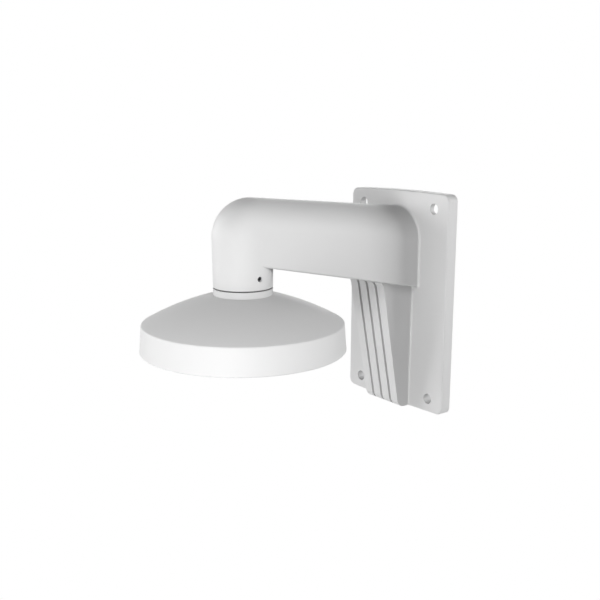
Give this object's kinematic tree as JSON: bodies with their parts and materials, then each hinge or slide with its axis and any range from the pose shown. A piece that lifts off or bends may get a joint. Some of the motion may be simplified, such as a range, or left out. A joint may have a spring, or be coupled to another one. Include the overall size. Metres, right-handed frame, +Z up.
{
  "type": "camera wall bracket",
  "caption": "White cast wall bracket for a dome camera: wall plate, grooved strut and arm bending down to a wide dished cap that takes the camera.",
  "frame": {"origin": "centre of the wall plate's back face, which lies on the wall, 0.5 mm above the centre of the four wall holes", "axes": "+X to the right when facing the wall, +Y into the wall, +Z up; the arm reaches out along -Y"},
  "size_m": [0.155, 0.2433, 0.185],
  "materials": {
    "bracket_coat": "satin",
    "cap_coat": "satin",
    "seal_rubber": "matte",
    "screw_steel": "satin"
  },
  "bodies": {
    "root": {"wall_bracket": "bracket_coat", "camera_cap": "cap_coat", "seal_ring": "seal_rubber", "set_screw": "screw_steel"}
  },
  "joints": []
}
